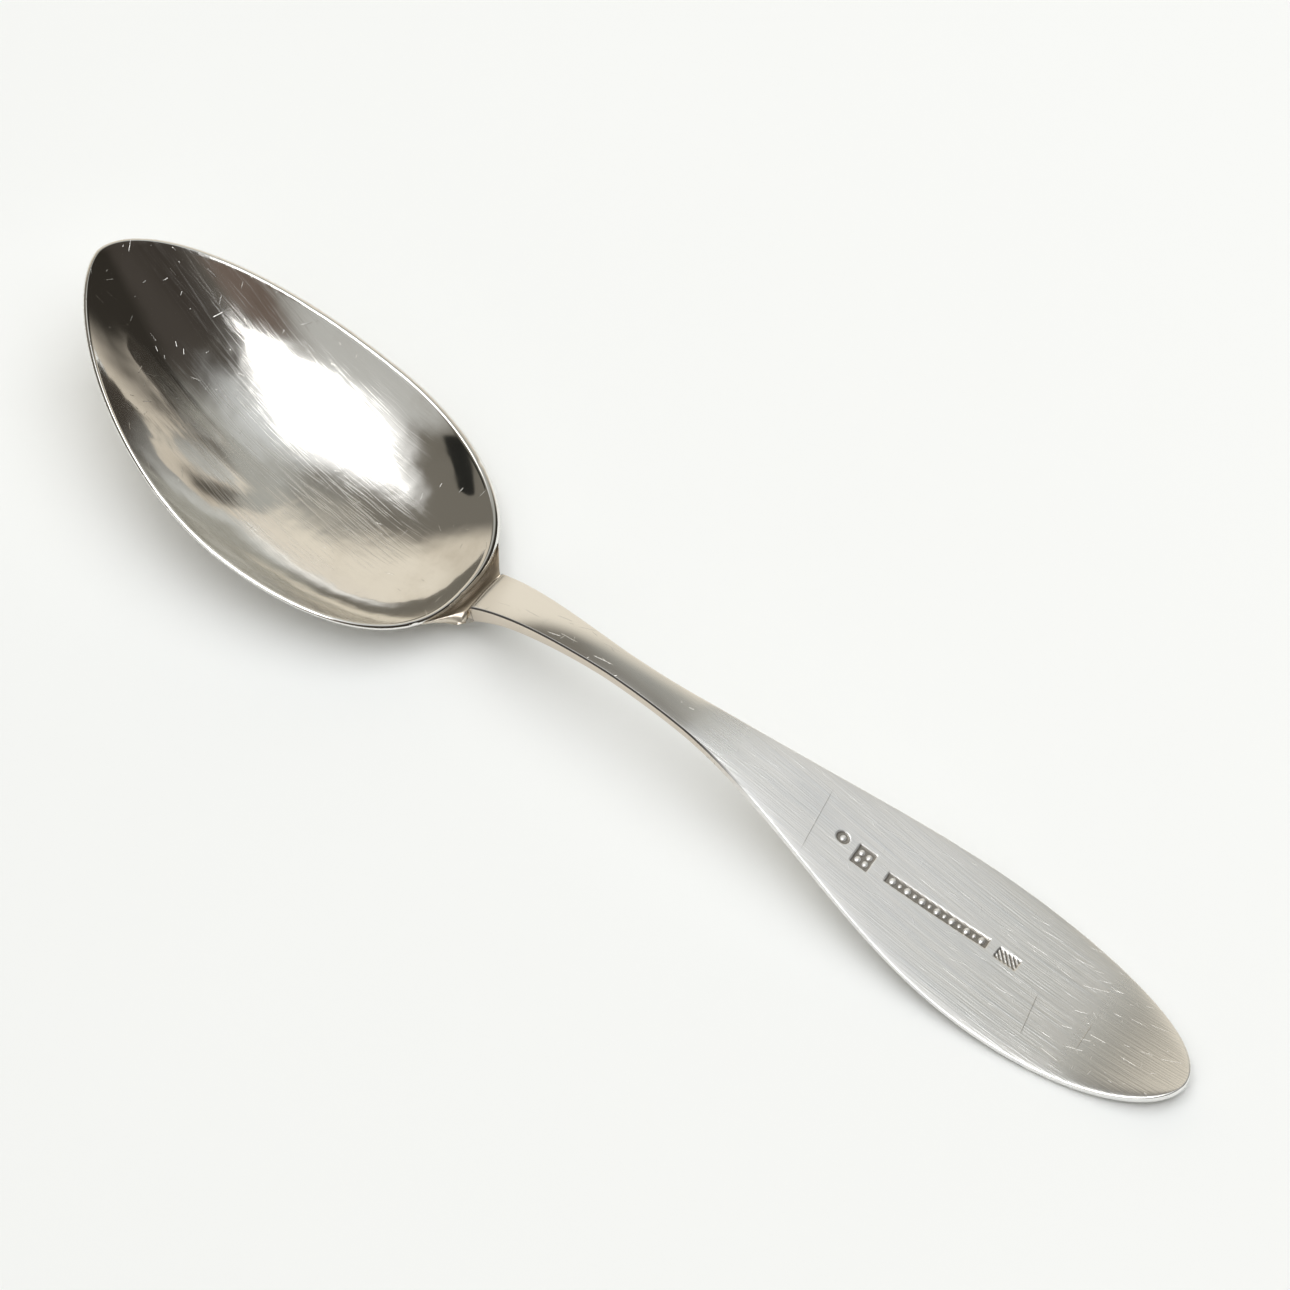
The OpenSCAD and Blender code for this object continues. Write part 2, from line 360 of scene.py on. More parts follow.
# A texture's own space: its size in millimetres along its axes, and its turn about z
def textureSpace(tree, place, sizes, turn=0.0):
    scale = tuple(size * mm for size in sizes)
    plugs = {"Vector": place, "Scale": scale, "Rotation": (0.0, 0.0, turn)}
    return addNode(tree, "ShaderNodeMapping", plugs, vector_type="TEXTURE").outputs[0]


def noise(tree, place, size, detail=4.0, rough=0.55, drawnOut=1.0, turn=0.0):
    space = textureSpace(tree, place, (size * drawnOut, size, size * drawnOut), turn)
    plugs = {"Vector": space, "Scale": 1.0, "Detail": detail, "Roughness": rough}
    return Wire(tree, addNode(tree, "ShaderNodeTexNoise", plugs).outputs[0])


def attribute(tree, name):
    node = addNode(tree, "ShaderNodeAttribute", attribute_name=name)
    return Wire(tree, node.outputs["Fac"])


def colourMix(tree, a, b, share):
    node = addNode(tree, "ShaderNodeMix", {"Factor": share}, data_type="RGBA")
    sockets = [s for s in node.inputs if s.type == "RGBA"]
    for socket, colour in zip(sockets, (a, b)):
        plug(tree, colour if isinstance(colour, Wire) else (*colour, 1.0), socket)
    return Wire(tree, [s for s in node.outputs if s.type == "RGBA"][0])


# How much of a scratch's half width and half length is whole, and its tail, in cells
scratchForm = {"core": 0.3, "whole": 0.6, "tail": 0.02}


# Short straight scratches: one in each cell of a grid of random cells, each turned its own way
def scratches(tree, place, cell, width, reach, lean=0.0, spread=6.283, share=1.0):
    space = textureSpace(tree, place, (cell, cell, cell))
    plugs = {"Vector": space, "Scale": 1.0}
    cells = addNode(tree, "ShaderNodeTexVoronoi", plugs, voronoi_dimensions="2D")
    plugs = {0: space, 1: cells.outputs["Position"]}
    offset = addNode(tree, "ShaderNodeVectorMath", plugs, operation="SUBTRACT")
    x, y = splitPlace(tree, offset.outputs[0])[:2]
    chance = addNode(tree, "ShaderNodeSeparateColor", {0: cells.outputs["Color"]})
    turn = Wire(tree, chance.outputs[0]) * spread + lean
    c, s = calc("COSINE", turn), calc("SINE", turn)
    across = calc("ABSOLUTE", y * c - x * s)
    length = calc("ABSOLUTE", x * c + y * s)
    longer = Wire(tree, chance.outputs[1]) * reach / cell
    line = 1.0 - fade(across, scratchForm["core"] * width / cell, width / cell)
    some = calc("GREATER_THAN", share, Wire(tree, chance.outputs[2]))
    ends = longer * scratchForm["whole"], longer + scratchForm["tail"]
    return line * some * (1.0 - fade(length, *ends))


def bump(tree, height, strength, distance, normal=None):
    plugs = {"Strength": strength, "Distance": distance * mm, "Height": height}
    if normal is not None:
        plugs["Normal"] = normal
    return addNode(tree, "ShaderNodeBump", plugs).outputs[0]


# Fine lines drawn out along one direction, in layers of their own size and turn
def hairLines(tree, place, look):
    lines = 0.0
    for size, turn in look["hairs"]:
        drawn = noise(tree, place, size, 2.0, 0.5, look["hairLength"], turn)
        lines = calc("MAXIMUM", lines, fade(drawn, *look["hairEnds"]))
    return lines


bowlFinish = {
    "clean": (0.90, 0.885, 0.85), "tarnish": (0.66, 0.62, 0.56), "gloss": 0.07, "satin": 0.17,
    "stainSize": 14.0, "stainEnds": (0.5, 0.78), "stainShare": 0.5, "patchSize": 9.0,
    "patchEnds": (0.3, 0.7), "wornEnds": (0.45, 0.8), "rightFrom": (3.0, 11.0),
    "rightTo": (-52.0, -44.0), "rightShare": 0.5, "tipEnds": (-84.0, -66.0),
    "hairs": [(0.2, -0.11), (0.28, -0.05), (0.4, -0.17)], "hairLength": 45.0,
    "hairEnds": (0.57, 0.68), "hairRough": 0.16, "hairBump": 0.3, "hairDepth": 0.015,
    "nickRough": 0.2, "nickBump": 0.6, "nickDepth": 0.04,
}


def bowlSilver(look):
    material, tree, shader, place = newMaterial("bowlSilver")
    stain = fade(noise(tree, place, look["stainSize"], 5.0, 0.6), *look["stainEnds"])
    base = colourMix(tree, look["clean"], look["tarnish"], stain * look["stainShare"])
    # Worn satin in the middle of the hollow and on its right side, polished elsewhere
    x, y = splitPlace(tree, place)[:2]
    right = fadeMm(y, look["rightFrom"]) * (1.0 - fadeMm(x, look["rightTo"]))
    worn = 1.0 - fade(attribute(tree, "rimShare"), *look["wornEnds"])
    worn = calc("MAXIMUM", worn, right * look["rightShare"])
    patches = noise(tree, place, look["patchSize"], 3.0, 0.6, drawnOut=2.5, turn=-0.11)
    patchy = fade(patches, *look["patchEnds"])
    hairs = hairLines(tree, place, look) * worn
    tip = 1.0 - fadeMm(x, look["tipEnds"])
    fresh = scratches(tree, place, cell=3.0, width=0.05, reach=1.0, share=0.5) * tip
    old = scratches(tree, place, cell=3.6, width=0.04, reach=0.8, lean=0.7, share=0.5) * 0.5
    nicks = calc("MAXIMUM", fresh, old)
    rough = mixed(look["gloss"], look["satin"], worn * (0.45 + patchy * 0.55))
    rough = rough + hairs * look["hairRough"] + nicks * look["nickRough"]
    fine = bump(tree, hairs, look["hairBump"], look["hairDepth"])
    deep = bump(tree, nicks, look["nickBump"], look["nickDepth"], fine)
    finish = {"Base Color": base, "Metallic": 1.0, "Roughness": rough, "Normal": deep}
    plugAll(tree, shader, finish)
    return material


# The tarnish colour also paints the shade on the neck's sides
handleFinish = {
    "clean": (0.95, 0.94, 0.915), "cool": (0.74, 0.76, 0.78), "tarnish": (0.68, 0.60, 0.50),
    "pit": (0.25, 0.225, 0.19), "line": (0.05, 0.045, 0.04), "neckGloss": 0.13, "gloss": 0.32,
    "satin": 0.54, "endGloss": 0.18, "bare": 0.3, "film": 0.26, "brushedFrom": (8.0, 30.0),
    "filmEnds": (45.0, 82.0), "turnedUp": (80.0, 92.0), "streaks": 45.0,
    "streakEnds": (0.42, 0.72), "streakShare": 0.35, "satinEnds": (0.35, 0.75),
    "cutWidth": 0.1, "cutShade": 0.4, "markRough": 0.2, "lineRough": 0.7, "lineDull": 0.95,
}
# Deep scratches across the flat end: middle in millimetres, turn in degrees, half length
crossScratches = [
    {"x": 37.6, "y": -1.0, "turn": 101.0, "half": 5.8},
    {"x": 78.1, "y": -4.0, "turn": 105.0, "half": 3.9},
    {"x": 86.4, "y": -2.0, "turn": 96.0, "half": 2.8},
]


# A point as seen from a turned mark, along and across it; the unit is x's own millimetre
def markPlace(mark, x, y, unit=1.0):
    turn = math.radians(mark["turn"])
    dx, dy = x - mark["x"] * unit, y - mark["y"] * unit
    along = dx * math.cos(turn) + dy * math.sin(turn)
    return along, dy * math.cos(turn) - dx * math.sin(turn)


def lineMark(x, y, mark, width):
    along, across = (calc("ABSOLUTE", part) for part in markPlace(mark, x, y, mm))
    line = 1.0 - fadeMm(across, (scratchForm["core"] * width, width))
    return line * (1.0 - fadeMm(along, (scratchForm["whole"] * mark["half"], mark["half"])))


def handleSilver(look):
    material, tree, shader, place = newMaterial("handleSilver")
    x, y = splitPlace(tree, place)[:2]
    flat = fadeMm(x, look["brushedFrom"])
    turnedUp = fadeMm(x, look["turnedUp"])
    brushing = flat * (1.0 - turnedUp * 0.7)
    bare = fadeMm(x, look["filmEnds"])
    cloud = noise(tree, place, 5.0, 4.0, 0.6, drawnOut=4.0)
    brushed = noise(tree, place, 0.24, 3.0, 0.65, look["streaks"])
    broad = noise(tree, place, 0.9, 3.0, 0.6, look["streaks"] * 0.6)
    ends, share = look["streakEnds"], look["streakShare"]
    streaks = fade(brushed, *ends) * share + fade(broad, *ends) * share
    shade = calc("MAXIMUM", fade(cloud, 0.45, 0.8) * 0.55, streaks * brushing)
    base = colourMix(tree, look["clean"], look["cool"], shade)
    # Painted shade on the neck's sides, for the shadowed floor that they reflect, mixed with
    # their tarnish
    base = colourMix(tree, base, look["tarnish"], attribute(tree, "sideShadeAndTarnish"))
    # A dark, dull, rough line along the neck's left edge
    edgeLine = attribute(tree, "edgeLine")
    base = colourMix(tree, base, look["line"], edgeLine)
    cuts = 0.0
    for mark in crossScratches:
        cuts = calc("MAXIMUM", cuts, lineMark(x, y, mark, look["cutWidth"]))
    dirt = noise(tree, place, 0.8, 3.0, 0.6)
    pits = fade(attribute(tree, "punchDepth") + dirt * 0.3, 0.35, 1.0) * 0.9
    dark = calc("MAXIMUM", pits, cuts * look["cutShade"])
    base = colourMix(tree, base, look["pit"], dark)
    nicks = scratches(tree, place, cell=2.6, width=0.05, reach=0.8, share=0.5)
    hairs = scratches(tree, place, cell=3.0, width=0.05, reach=3.0, lean=-0.1, spread=0.5,
                      share=0.5)
    marks = calc("MAXIMUM", nicks, hairs) * (0.35 + flat * 0.65) * (1.0 - turnedUp * 0.6)
    satin = mixed(look["gloss"], look["satin"], fade(brushed, *look["satinEnds"]))
    satin = mixed(satin, look["bare"], bare * 0.7)
    satin = mixed(satin, look["endGloss"], turnedUp * 0.8)
    rough = mixed(look["neckGloss"], satin, flat) + marks * look["markRough"]
    rough = rough + edgeLine * look["lineRough"]
    # The dull film where the end is brushed and the dark line along the edge aren't metal
    film = brushing * (1.0 - bare) * look["film"]
    metal = (1.0 - film) * (1.0 - edgeLine * look["lineDull"])
    fine = bump(tree, (brushed + broad * 0.5) * brushing, 0.5, 0.1)
    deep = bump(tree, calc("MAXIMUM", marks, cuts), 0.6, 0.03, fine)
    finish = {"Base Color": base, "Metallic": metal, "Roughness": rough, "Normal": deep}
    plugAll(tree, shader, finish)
    return material


solderFinish = {"light": (0.72, 0.65, 0.55), "dark": (0.41, 0.35, 0.285), "rough": 0.26}


def solderMetal(look):
    material, tree, shader, place = newMaterial("solderMetal")
    cloud = noise(tree, place, 1.6, 5.0, 0.65)
    pits = noise(tree, place, 0.5, 3.0, 0.5)
    dark = fade(attribute(tree, "valleyShare") + cloud * 0.7, 0.45, 0.95) * 0.9
    plugAll(tree, shader, {
        "Base Color": colourMix(tree, look["light"], look["dark"], dark), "Metallic": 1.0,
        "Roughness": look["rough"] + cloud * 0.2, "Normal": bump(tree, pits, 0.5, 0.1),
    })
    return material


bowlSkin = bowlSilver(bowlFinish)
handleSkin = handleSilver(handleFinish)
solderSkin = solderMetal(solderFinish)
print("materials ready")


# The bowl: one sheet from its bottom inside, over the rim and back under, as a geometry tree
bowlMesh = {
    "around": 361, "across": 161, "lipShare": 0.05, "lipRound": 0.6, "heelCrowding": 1.4,
    "dentFade": 8.0, "nickEnds": (0.6, 0.75), "weld": 0.002,
}
bowlWear = {"dentSize": 4.5, "dentDepth": 0.05, "nickSize": 2.5, "nickDepth": 0.12}


def bowlTree(sizes, mesh, wear, material):
    labels = list(sizes) + list(wear)
    tree, known, entry, leave = newGeometryTree(
        "bowlSheet", {label: "NodeSocketFloat" for label in labels}
    )
    f = {label: Wire(tree, entry.outputs[label]) for label in labels}
    grid = addNode(tree, "GeometryNodeMeshGrid", {
        "Size X": 2.0, "Size Y": 2.0, "Vertices X": mesh["around"], "Vertices Y": mesh["across"],
    })
    u, v = splitPlace(tree, addNode(tree, "GeometryNodeInputPosition").outputs[0])[:2]
    # Columns crowd at the heel, where the rim turns sharply
    side = calc("GREATER_THAN", u, 0.0) * 2.0 - 1.0
    s = side * calc("POWER", calc("ABSOLUTE", u), mesh["heelCrowding"]) * math.pi + math.pi
    lip = mesh["lipShare"]
    r = calc("MINIMUM", (1.0 - calc("ABSOLUTE", v)) / (1.0 - lip), 1.0)
    turn = (between(v / lip, -1.0, 1.0) + 1.0) * (math.pi / 2)
    along, up = wallFrame(r, s, f)
    half = sheetAt(r, s, f) * 0.5
    point = addPoint(hollow(r, s, f), up, half * (calc("COSINE", turn) - 1.0))
    point = addPoint(point, along, half * mesh["lipRound"] * calc("SINE", turn))
    # Shallow hammer dents inside, and small nicks in the rim
    spot = joinPlace(tree, point)
    inner = calc("COSINE", turn) * 0.5 + 0.5
    flat = 1.0 - calc("POWER", r, mesh["dentFade"])
    dents = treeNoise(tree, spot, f["dentSize"]) - 0.5
    point = addPoint(point, up, dents * f["dentDepth"] * 2.0 * inner * flat)
    nicks = fade(treeNoise(tree, spot, f["nickSize"]), *mesh["nickEnds"])
    point = addPoint(point, along, -(nicks * f["nickDepth"] * calc("SINE", turn)))
    onTable = point[0], point[1], calc("MAXIMUM", point[2], 0.0)
    place = joinPlace(tree, [value * mm for value in onTable])
    rimShare = r * (1.0 - 2.0 * calc("GREATER_THAN", v, 0.0))
    plugs = {"Geometry": grid.outputs["Mesh"], "Name": "rimShare", "Value": rimShare}
    keep = addNode(tree, "GeometryNodeStoreNamedAttribute", plugs, data_type="FLOAT",
                   domain="POINT")
    plugs = {"Geometry": keep.outputs[0], "Position": place}
    shape = addNode(tree, "GeometryNodeSetPosition", plugs)
    plugs = {0: shape.outputs[0], "Distance": mesh["weld"] * mm}
    weld = addNode(tree, "GeometryNodeMergeByDistance", plugs)
    endTree(tree, leave, weld.outputs[0], material)
    return tree, known


sheetTree, sheetInputs = bowlTree(bowlRule, bowlMesh, bowlWear, bowlSkin)
bowlSheet = growMesh("bowl_sheet", sheetTree, sheetInputs, {**bowlRule, **bowlWear})
placeMesh("bowl_sheet", bowlSheet, None, replaces=("bowl",))


# The handle, lengths in millimetres, seen from above and from the side
handleSizes = {
    "frontWidth": 7.6, "frontThick": 3.3, "frontPower": 1.3, "neckAt": 0.196, "neckWidth": 4.7,
    "neckThick": 2.4, "spreadPower": 1.12, "paddleWidth": 23.0, "paddleThick": 1.4,
    "paddleRound": 32.5, "endThick": 1.7, "endLift": 2.0, "archAt": 0.306, "archHeight": 13.8,
    "risePower": 4.8, "fallPower": 0.85, "restFromEnd": 18.5, "tableGap": 0.02,
    "neckCrown": 0.18, "neckPower": 2.0, "paddleCrown": 0.15, "edgePower": 9.0,
    "neckEdge": 0.2, "edgeRound": 0.2, "underEdge": 0.8, "underRound": 0.3, "valley": 2.7,
    "step": 2.5, "startLength": 9.0, "startDepth": 1.1, "startLean": 0.9, "lowHalf": 4.7,
    "lowBend": 1.8, "highHalf": 4.15, "saddleEdge": 0.08, "tongueSpread": 15.0,
    "tongueThick": 1.9, "tongueTip": 0.5, "tonguePower": 1.3, "tongueReach": 0.34,
    "tongueRound": 0.55, "tongueCrown": 0.6, "tongueEdge": 0.1, "gap": 0.04, "bead": 0.5,
}


class HandleRule:
    def __init__(self, sizes, endX):
        self.z = sizes
        self.lip = [float(c) for c in backOf(1.0, math.pi, 0.0)]
        self.endX = endX
        self.frontX = self.lip[0] + sizes["valley"]
        self.frontZ = self.lip[2] + sizes["step"]
        reach = endX - self.frontX
        self.neckX = self.frontX + sizes["neckAt"] * reach
        self.archX = self.frontX + sizes["archAt"] * reach
        self.restX = endX - sizes["restFromEnd"]
        self.paddleX = endX - sizes["paddleRound"]
        self.restZ = float(self.thick(self.restX)) + sizes["tableGap"]
        self.floorReach = 1 - sizes["tongueReach"]
        self.roundReach = 1 - sizes["tongueRound"] * sizes["tongueReach"]

    def halfWidth(self, x):
        z = self.z
        front = np.clip((self.neckX - x) / (self.neckX - self.frontX), 0, None)
        spread = np.clip((x - self.neckX) / (self.paddleX - self.neckX), 0, 1)
        oval = np.sqrt(np.clip(1 - ((x - self.paddleX) / z["paddleRound"]) ** 2, 0, 1))
        stem = np.where(
            x < self.neckX,
            mixed(z["neckWidth"], z["frontWidth"], front ** z["frontPower"]),
            mixed(z["neckWidth"], z["paddleWidth"], ease(spread ** z["spreadPower"])),
        )
        return np.where(x < self.paddleX, stem, z["paddleWidth"] * oval) / 2

    def thick(self, x):
        z = self.z
        front = ease((x - self.frontX) / (self.neckX - self.frontX))
        stem = self.flatness(x)
        end = ease((x - self.paddleX) / z["paddleRound"])
        neck = mixed(mixed(z["frontThick"], z["neckThick"], front), z["paddleThick"], stem)
        return mixed(neck, z["endThick"], end)

    def topZ(self, x):
        z = self.z
        toArch = np.clip(1 - (x - self.frontX) / (self.archX - self.frontX), 0, None)
        toRest = np.clip((x - self.archX) / (self.restX - self.archX), 0, 1)
        rise, fall = 1 - toArch ** z["risePower"], ease(toRest ** z["fallPower"])
        lift = z["endLift"] * (np.clip(x - self.restX, 0, None) / z["restFromEnd"]) ** 2
        front = mixed(self.frontZ, z["archHeight"], rise)
        return np.where(x < self.archX, front, mixed(z["archHeight"], self.restZ, fall) + lift)

    def nearFront(self, x):
        return np.clip(1 - (x - self.frontX) / self.z["startLength"], 0, None)

    def underZ(self, x):
        start = self.z["startDepth"] * self.nearFront(x) ** 2
        return self.topZ(x) - self.thick(x) - start

    def flatness(self, x):
        return ease((x - self.neckX) / (self.paddleX - self.neckX))

    def edgeDistance(self, x, y):
        z = self.z
        side = self.halfWidth(x) - np.abs(y)
        along = np.clip((x - self.paddleX) / z["paddleRound"], 0, 1)
        across = np.abs(y) / (z["paddleWidth"] / 2)
        oval = np.sqrt(along ** 2 + across ** 2) + 1e-9
        slope = np.sqrt(
            (along / z["paddleRound"]) ** 2 + (across / (z["paddleWidth"] / 2)) ** 2
        ) / oval
        return np.clip(np.where(x > self.paddleX, (1 - oval) / (slope + 1e-9), side), 0, None)


handleRule = HandleRule(handleSizes, cadHigh.x / mm)

# Punched marks in the flat end: x along the handle, y across it, halves of their size
punches = {
    "oval": {"x": 42.0, "y": -0.5, "half": (1.15, 0.95), "turn": 0.0},
    "square": {"x": 46.0, "y": -0.9, "half": (1.5, 1.6), "turn": 5.0},
    "bar": {"x": 58.6, "y": 0.1, "half": (8.6, 0.85), "turn": 6.0},
    "plate": {"x": 70.6, "y": 1.0, "half": (1.9, 0.95), "turn": 3.0},
}
punchCut = {"depth": 0.3, "slope": 0.16, "zone": (38.5, 73.5), "hatch": 0.75}


def punchShare(x, y):
    total = np.zeros(np.broadcast(x, y).shape)
    for name, mark in punches.items():
        along, across = markPlace(mark, x, y)
        dx, dy = np.abs(along), np.abs(across)
        a, b = mark["half"]
        if name == "oval":
            inset = (1 - np.sqrt((dx / a) ** 2 + (dy / b) ** 2)) * min(a, b)
        else:
            inset = np.minimum(a - dx, b - dy)
        share = fade(inset, 0.0, punchCut["slope"])
        if name == "plate":
            wave = (along + across) / punchCut["hatch"]
            share = share * (0.62 + 0.38 * np.cos(2 * np.pi * wave))
        total = np.maximum(total, share)
    return total


columns = {"denseLow": -0.4, "denseHigh": 0.3, "dense": 58, "plain": 12, "edge": 5, "under": 28}


def columnPlaces():
    low, high = columns["denseLow"], columns["denseHigh"]
    left = np.linspace(-1, low, columns["plain"], endpoint=False)
    middle = np.linspace(low, high, columns["dense"], endpoint=False)
    right = np.linspace(high, 1, columns["plain"] + 1)
    return np.concatenate([left, middle, right])


topPlaces = columnPlaces()
underPlaces = np.linspace(-1, 1, columns["under"] + 1)
edgeTurns = np.radians(np.linspace(0, 90, columns["edge"] + 1))[1:]


# Shares across the handle, from one edge to the other, with rounded edges of share f
def acrossList(inner, f):
    edge = 1 - f + f * np.sin(edgeTurns)
    return np.concatenate([-edge[::-1], inner * (1 - f), edge])


# A ring from its upper line and its lower line, each a function of the share across
def makeRing(upper, lower, f):
    over = np.array([upper(v) for v in acrossList(topPlaces, f)], float)
    under = np.array([lower(v) for v in acrossList(underPlaces, f)[::-1]], float)
    return np.concatenate([over, under])


def stemRing(x):
    rule, z = handleRule, handleRule.z
    underX = min(x + z["startLean"] * float(rule.nearFront(x)) ** 2, rule.endX)
    w = float(rule.halfWidth(x))
    flat = float(rule.flatness(x))
    crown = mixed(z["neckCrown"], z["paddleCrown"], flat)
    power = mixed(z["neckPower"], z["edgePower"], flat)
    top = float(rule.topZ(x))
    bottom = float(rule.underZ(underX))
    rho = mixed(z["neckEdge"], z["edgeRound"], flat)
    f = min(0.5, rho / max(w, 1e-6))
    over = acrossList(topPlaces, f)
    under = acrossList(underPlaces, f)[::-1]
    yTop, yUnder = over * w, under * w
    zTop = top - crown * np.abs(over) ** power - edgeDrop(x, yTop, rho)
    zTop = zTop - punchCut["depth"] * punchShare(x, yTop)
    zUnder = bottom + z["underRound"] * np.abs(under) ** 4
    zUnder = zUnder + edgeDrop(x, yUnder, rho * z["underEdge"])
    upper = np.stack([np.full_like(yTop, x), yTop, zTop], -1)
    lower = np.stack([np.full_like(yUnder, underX), yUnder, zUnder], -1)
    return np.concatenate([upper, lower])


def edgeDrop(x, y, rho):
    inset = np.clip(1 - handleRule.edgeDistance(x, y) / rho, 0, 1)
    return rho * (1 - np.sqrt(1 - inset ** 2))


def tongueHalf(r):
    rule = handleRule
    share = np.clip((rule.roundReach - r) / (rule.roundReach - rule.floorReach), 0, 1)
    return math.radians(rule.z["tongueSpread"] / 2) * float(np.sqrt(1 - share ** 2))


def tongueThick(r):
    z = handleRule.z
    share = max(0.0, (r - handleRule.floorReach) / z["tongueReach"])
    return mixed(z["tongueTip"], z["tongueThick"], share ** z["tonguePower"])


def tongueRing(r):
    half, z = tongueHalf(r), handleRule.z

    def under(v):
        thick = tongueThick(r) * (1 - z["tongueCrown"] * abs(v) ** 3)
        return backOf(r, math.pi - v * half, z["gap"] + thick)

    return makeRing(lambda v: backOf(r, math.pi - v * half, z["gap"]), under, z["tongueEdge"])


# The slope that carries the solder and the handle's start, as lines across: how far each
# lies from the bowl's lip or the handle's front, along and up, and how its sides sink
saddle = {
    "low": (0.45, -1.3), "under": (1.9, -1.7), "high": (-0.8, -2.3), "highUnder": (-0.2, -0.1),
    "front": -0.35, "sink": 0.1, "frontSink": 0.5,
}


def saddleLow(v):
    (x, _, z), (dx, dz) = handleRule.lip, saddle["low"]
    bend = handleRule.z["lowBend"] * v * v
    return [x + dx - bend, handleRule.z["lowHalf"] * v, z + dz - saddle["sink"] * v * v]


def saddleUnder(v):
    (x, _, z), (dx, dz), sizes = handleRule.lip, saddle["under"], handleRule.z
    bend = sizes["lowBend"] * v * v
    return [x + dx - bend, sizes["lowHalf"] * v, z + dz + sizes["underRound"] * v ** 4]


def saddleHigh(v):
    rule, (dx, dz) = handleRule, saddle["high"]
    return [rule.frontX + dx, rule.z["highHalf"] * v, rule.frontZ + dz - saddle["sink"] * v * v]


def highUnder(v):
    rule, (dx, dz) = handleRule, saddle["highUnder"]
    under = float(rule.underZ(rule.frontX)) + dz
    return [rule.frontX + dx, rule.z["highHalf"] * v, under + rule.z["underRound"] * v ** 4]


def frontTop(v):
    rule = handleRule
    top = rule.frontZ + saddle["front"] - saddle["frontSink"] * v * v
    return [rule.frontX, rule.z["frontWidth"] / 2 * v, top]


def frontUnder(v):
    rule, z = handleRule, handleRule.z
    x = rule.frontX + z["startLean"]
    return [x, z["frontWidth"] / 2 * v, float(rule.underZ(x)) + z["underRound"] * v ** 4]


def saddleRings():
    lines = (saddleLow, saddleUnder), (saddleHigh, highUnder), (frontTop, frontUnder)
    return [makeRing(upper, lower, handleRule.z["saddleEdge"]) for upper, lower in lines]


# Rings between control rings, on a smooth curve through them
def smoothRings(control, count):
    control = [np.asarray(c) for c in control]
    found = []
    for i in range(len(control) - 1):
        p0 = control[max(0, i - 1)]
        p1, p2 = control[i], control[i + 1]
        p3 = control[min(len(control) - 1, i + 2)]
        for k in range(count):
            t = k / count
            a = 2 * p1 + (p2 - p0) * t
            b = (2 * p0 - 5 * p1 + 4 * p2 - p3) * t * t
            c = (3 * p1 - p0 - 3 * p2 + p3) * t ** 3
            found.append((a + b + c) / 2)
    return found


# Rings along the handle: how many in each stretch, and where the stretches end
stations = {
    "tongue": 22, "tongueFrom": 0.004, "tongueTo": 0.955, "joint": 4, "start": 28,
    "startFrom": 0.4, "startTo": 12.0, "stem": 64, "marks": 262, "rest": 70, "endGap": 0.004,
}


def handleStations(count):
    rule = handleRule
    first, second = rule.frontX + count["startFrom"], rule.frontX + count["startTo"]
    zoneLow, zoneHigh = punchCut["zone"]
    front = np.linspace(first, second, count["start"], endpoint=False)
    stem = np.linspace(second, zoneLow, count["stem"], endpoint=False)
    marks = np.linspace(zoneLow, zoneHigh, count["marks"], endpoint=False)
    rest = zoneHigh + (rule.endX - zoneHigh) * np.sin(np.linspace(0, np.pi / 2, count["rest"]))
    return np.concatenate([front, stem, marks, rest[:-1], [rule.endX - count["endGap"]]])


# Where the neck's painted shade and tarnish fade along x, the upward normals of its sides, the
# dark line's
# width, and what counts as the top: its depth, and the least upward normal that takes the dark
# line
neckShading = {"fades": (16.0, 32.0), "side": (0.4, 0.75), "line": (0.2, 0.3), "top": 0.7,
            "upward": 0.2}


def makeHandle(count):
    rule = handleRule
    reachFrom = rule.floorReach + count["tongueFrom"]
    reach = np.linspace(reachFrom, count["tongueTo"], count["tongue"])
    tongue = [tongueRing(float(r)) for r in reach]
    low, high, front = saddleRings()
    stem = [stemRing(float(x)) for x in handleStations(count)]
    joint = smoothRings([tongue[-1], low, high, front, stem[0]], count["joint"])
    rings = tongue[:-1] + joint + stem
    tip = backOf(rule.floorReach, math.pi, rule.z["gap"] + rule.z["tongueTip"] / 2)
    end = float(rule.topZ(rule.endX)) - rule.z["endThick"] / 2
    mesh = loftMesh("handle_stem", tip, rings, [rule.endX, 0.0, end])
    x, y, z = (np.array([v.co for v in mesh.vertices]) / mm).T
    upward = np.array([v.normal.z for v in mesh.vertices])
    onTop = z > rule.topZ(x) - neckShading["top"]
    storeShare(mesh, "punchDepth", np.where(onTop, punchShare(x, y), 0.0))
    # Painted shade on the neck's sides, for the shadowed floor that they reflect, mixed with
    # their tarnish; a dark line along its left edge
    neck = 1 - fade(x, *neckShading["fades"])
    storeShare(mesh, "sideShadeAndTarnish", neck * (1 - fade(np.abs(upward), *neckShading["side"])))
    line = (1 - fade(rule.edgeDistance(x, y), *neckShading["line"])) * (x > rule.frontX)
    left = (y < 0) * onTop * (np.abs(upward) > neckShading["upward"])
    storeShare(mesh, "edgeLine", neck * line * left)
    return mesh


placeMesh(
    "handle_stem", makeHandle(stations), handleSkin,
    replaces=("handle",),
)


# Raised pellets on the floor of the punched marks
pelletRows = {
    "oval": {"count": 1, "step": 0.0, "size": 0.5, "second": 1.0, "lines": (0.0,)},
    "square": {"count": 2, "step": 1.25, "size": 0.5, "second": 1.0, "lines": (-0.6, 0.6)},
    "bar": {"count": 13, "step": 1.25, "size": 0.56, "second": 0.62, "lines": (0.0,)},
}
pelletForm = {"subdivisions": 3, "flatness": 0.6}


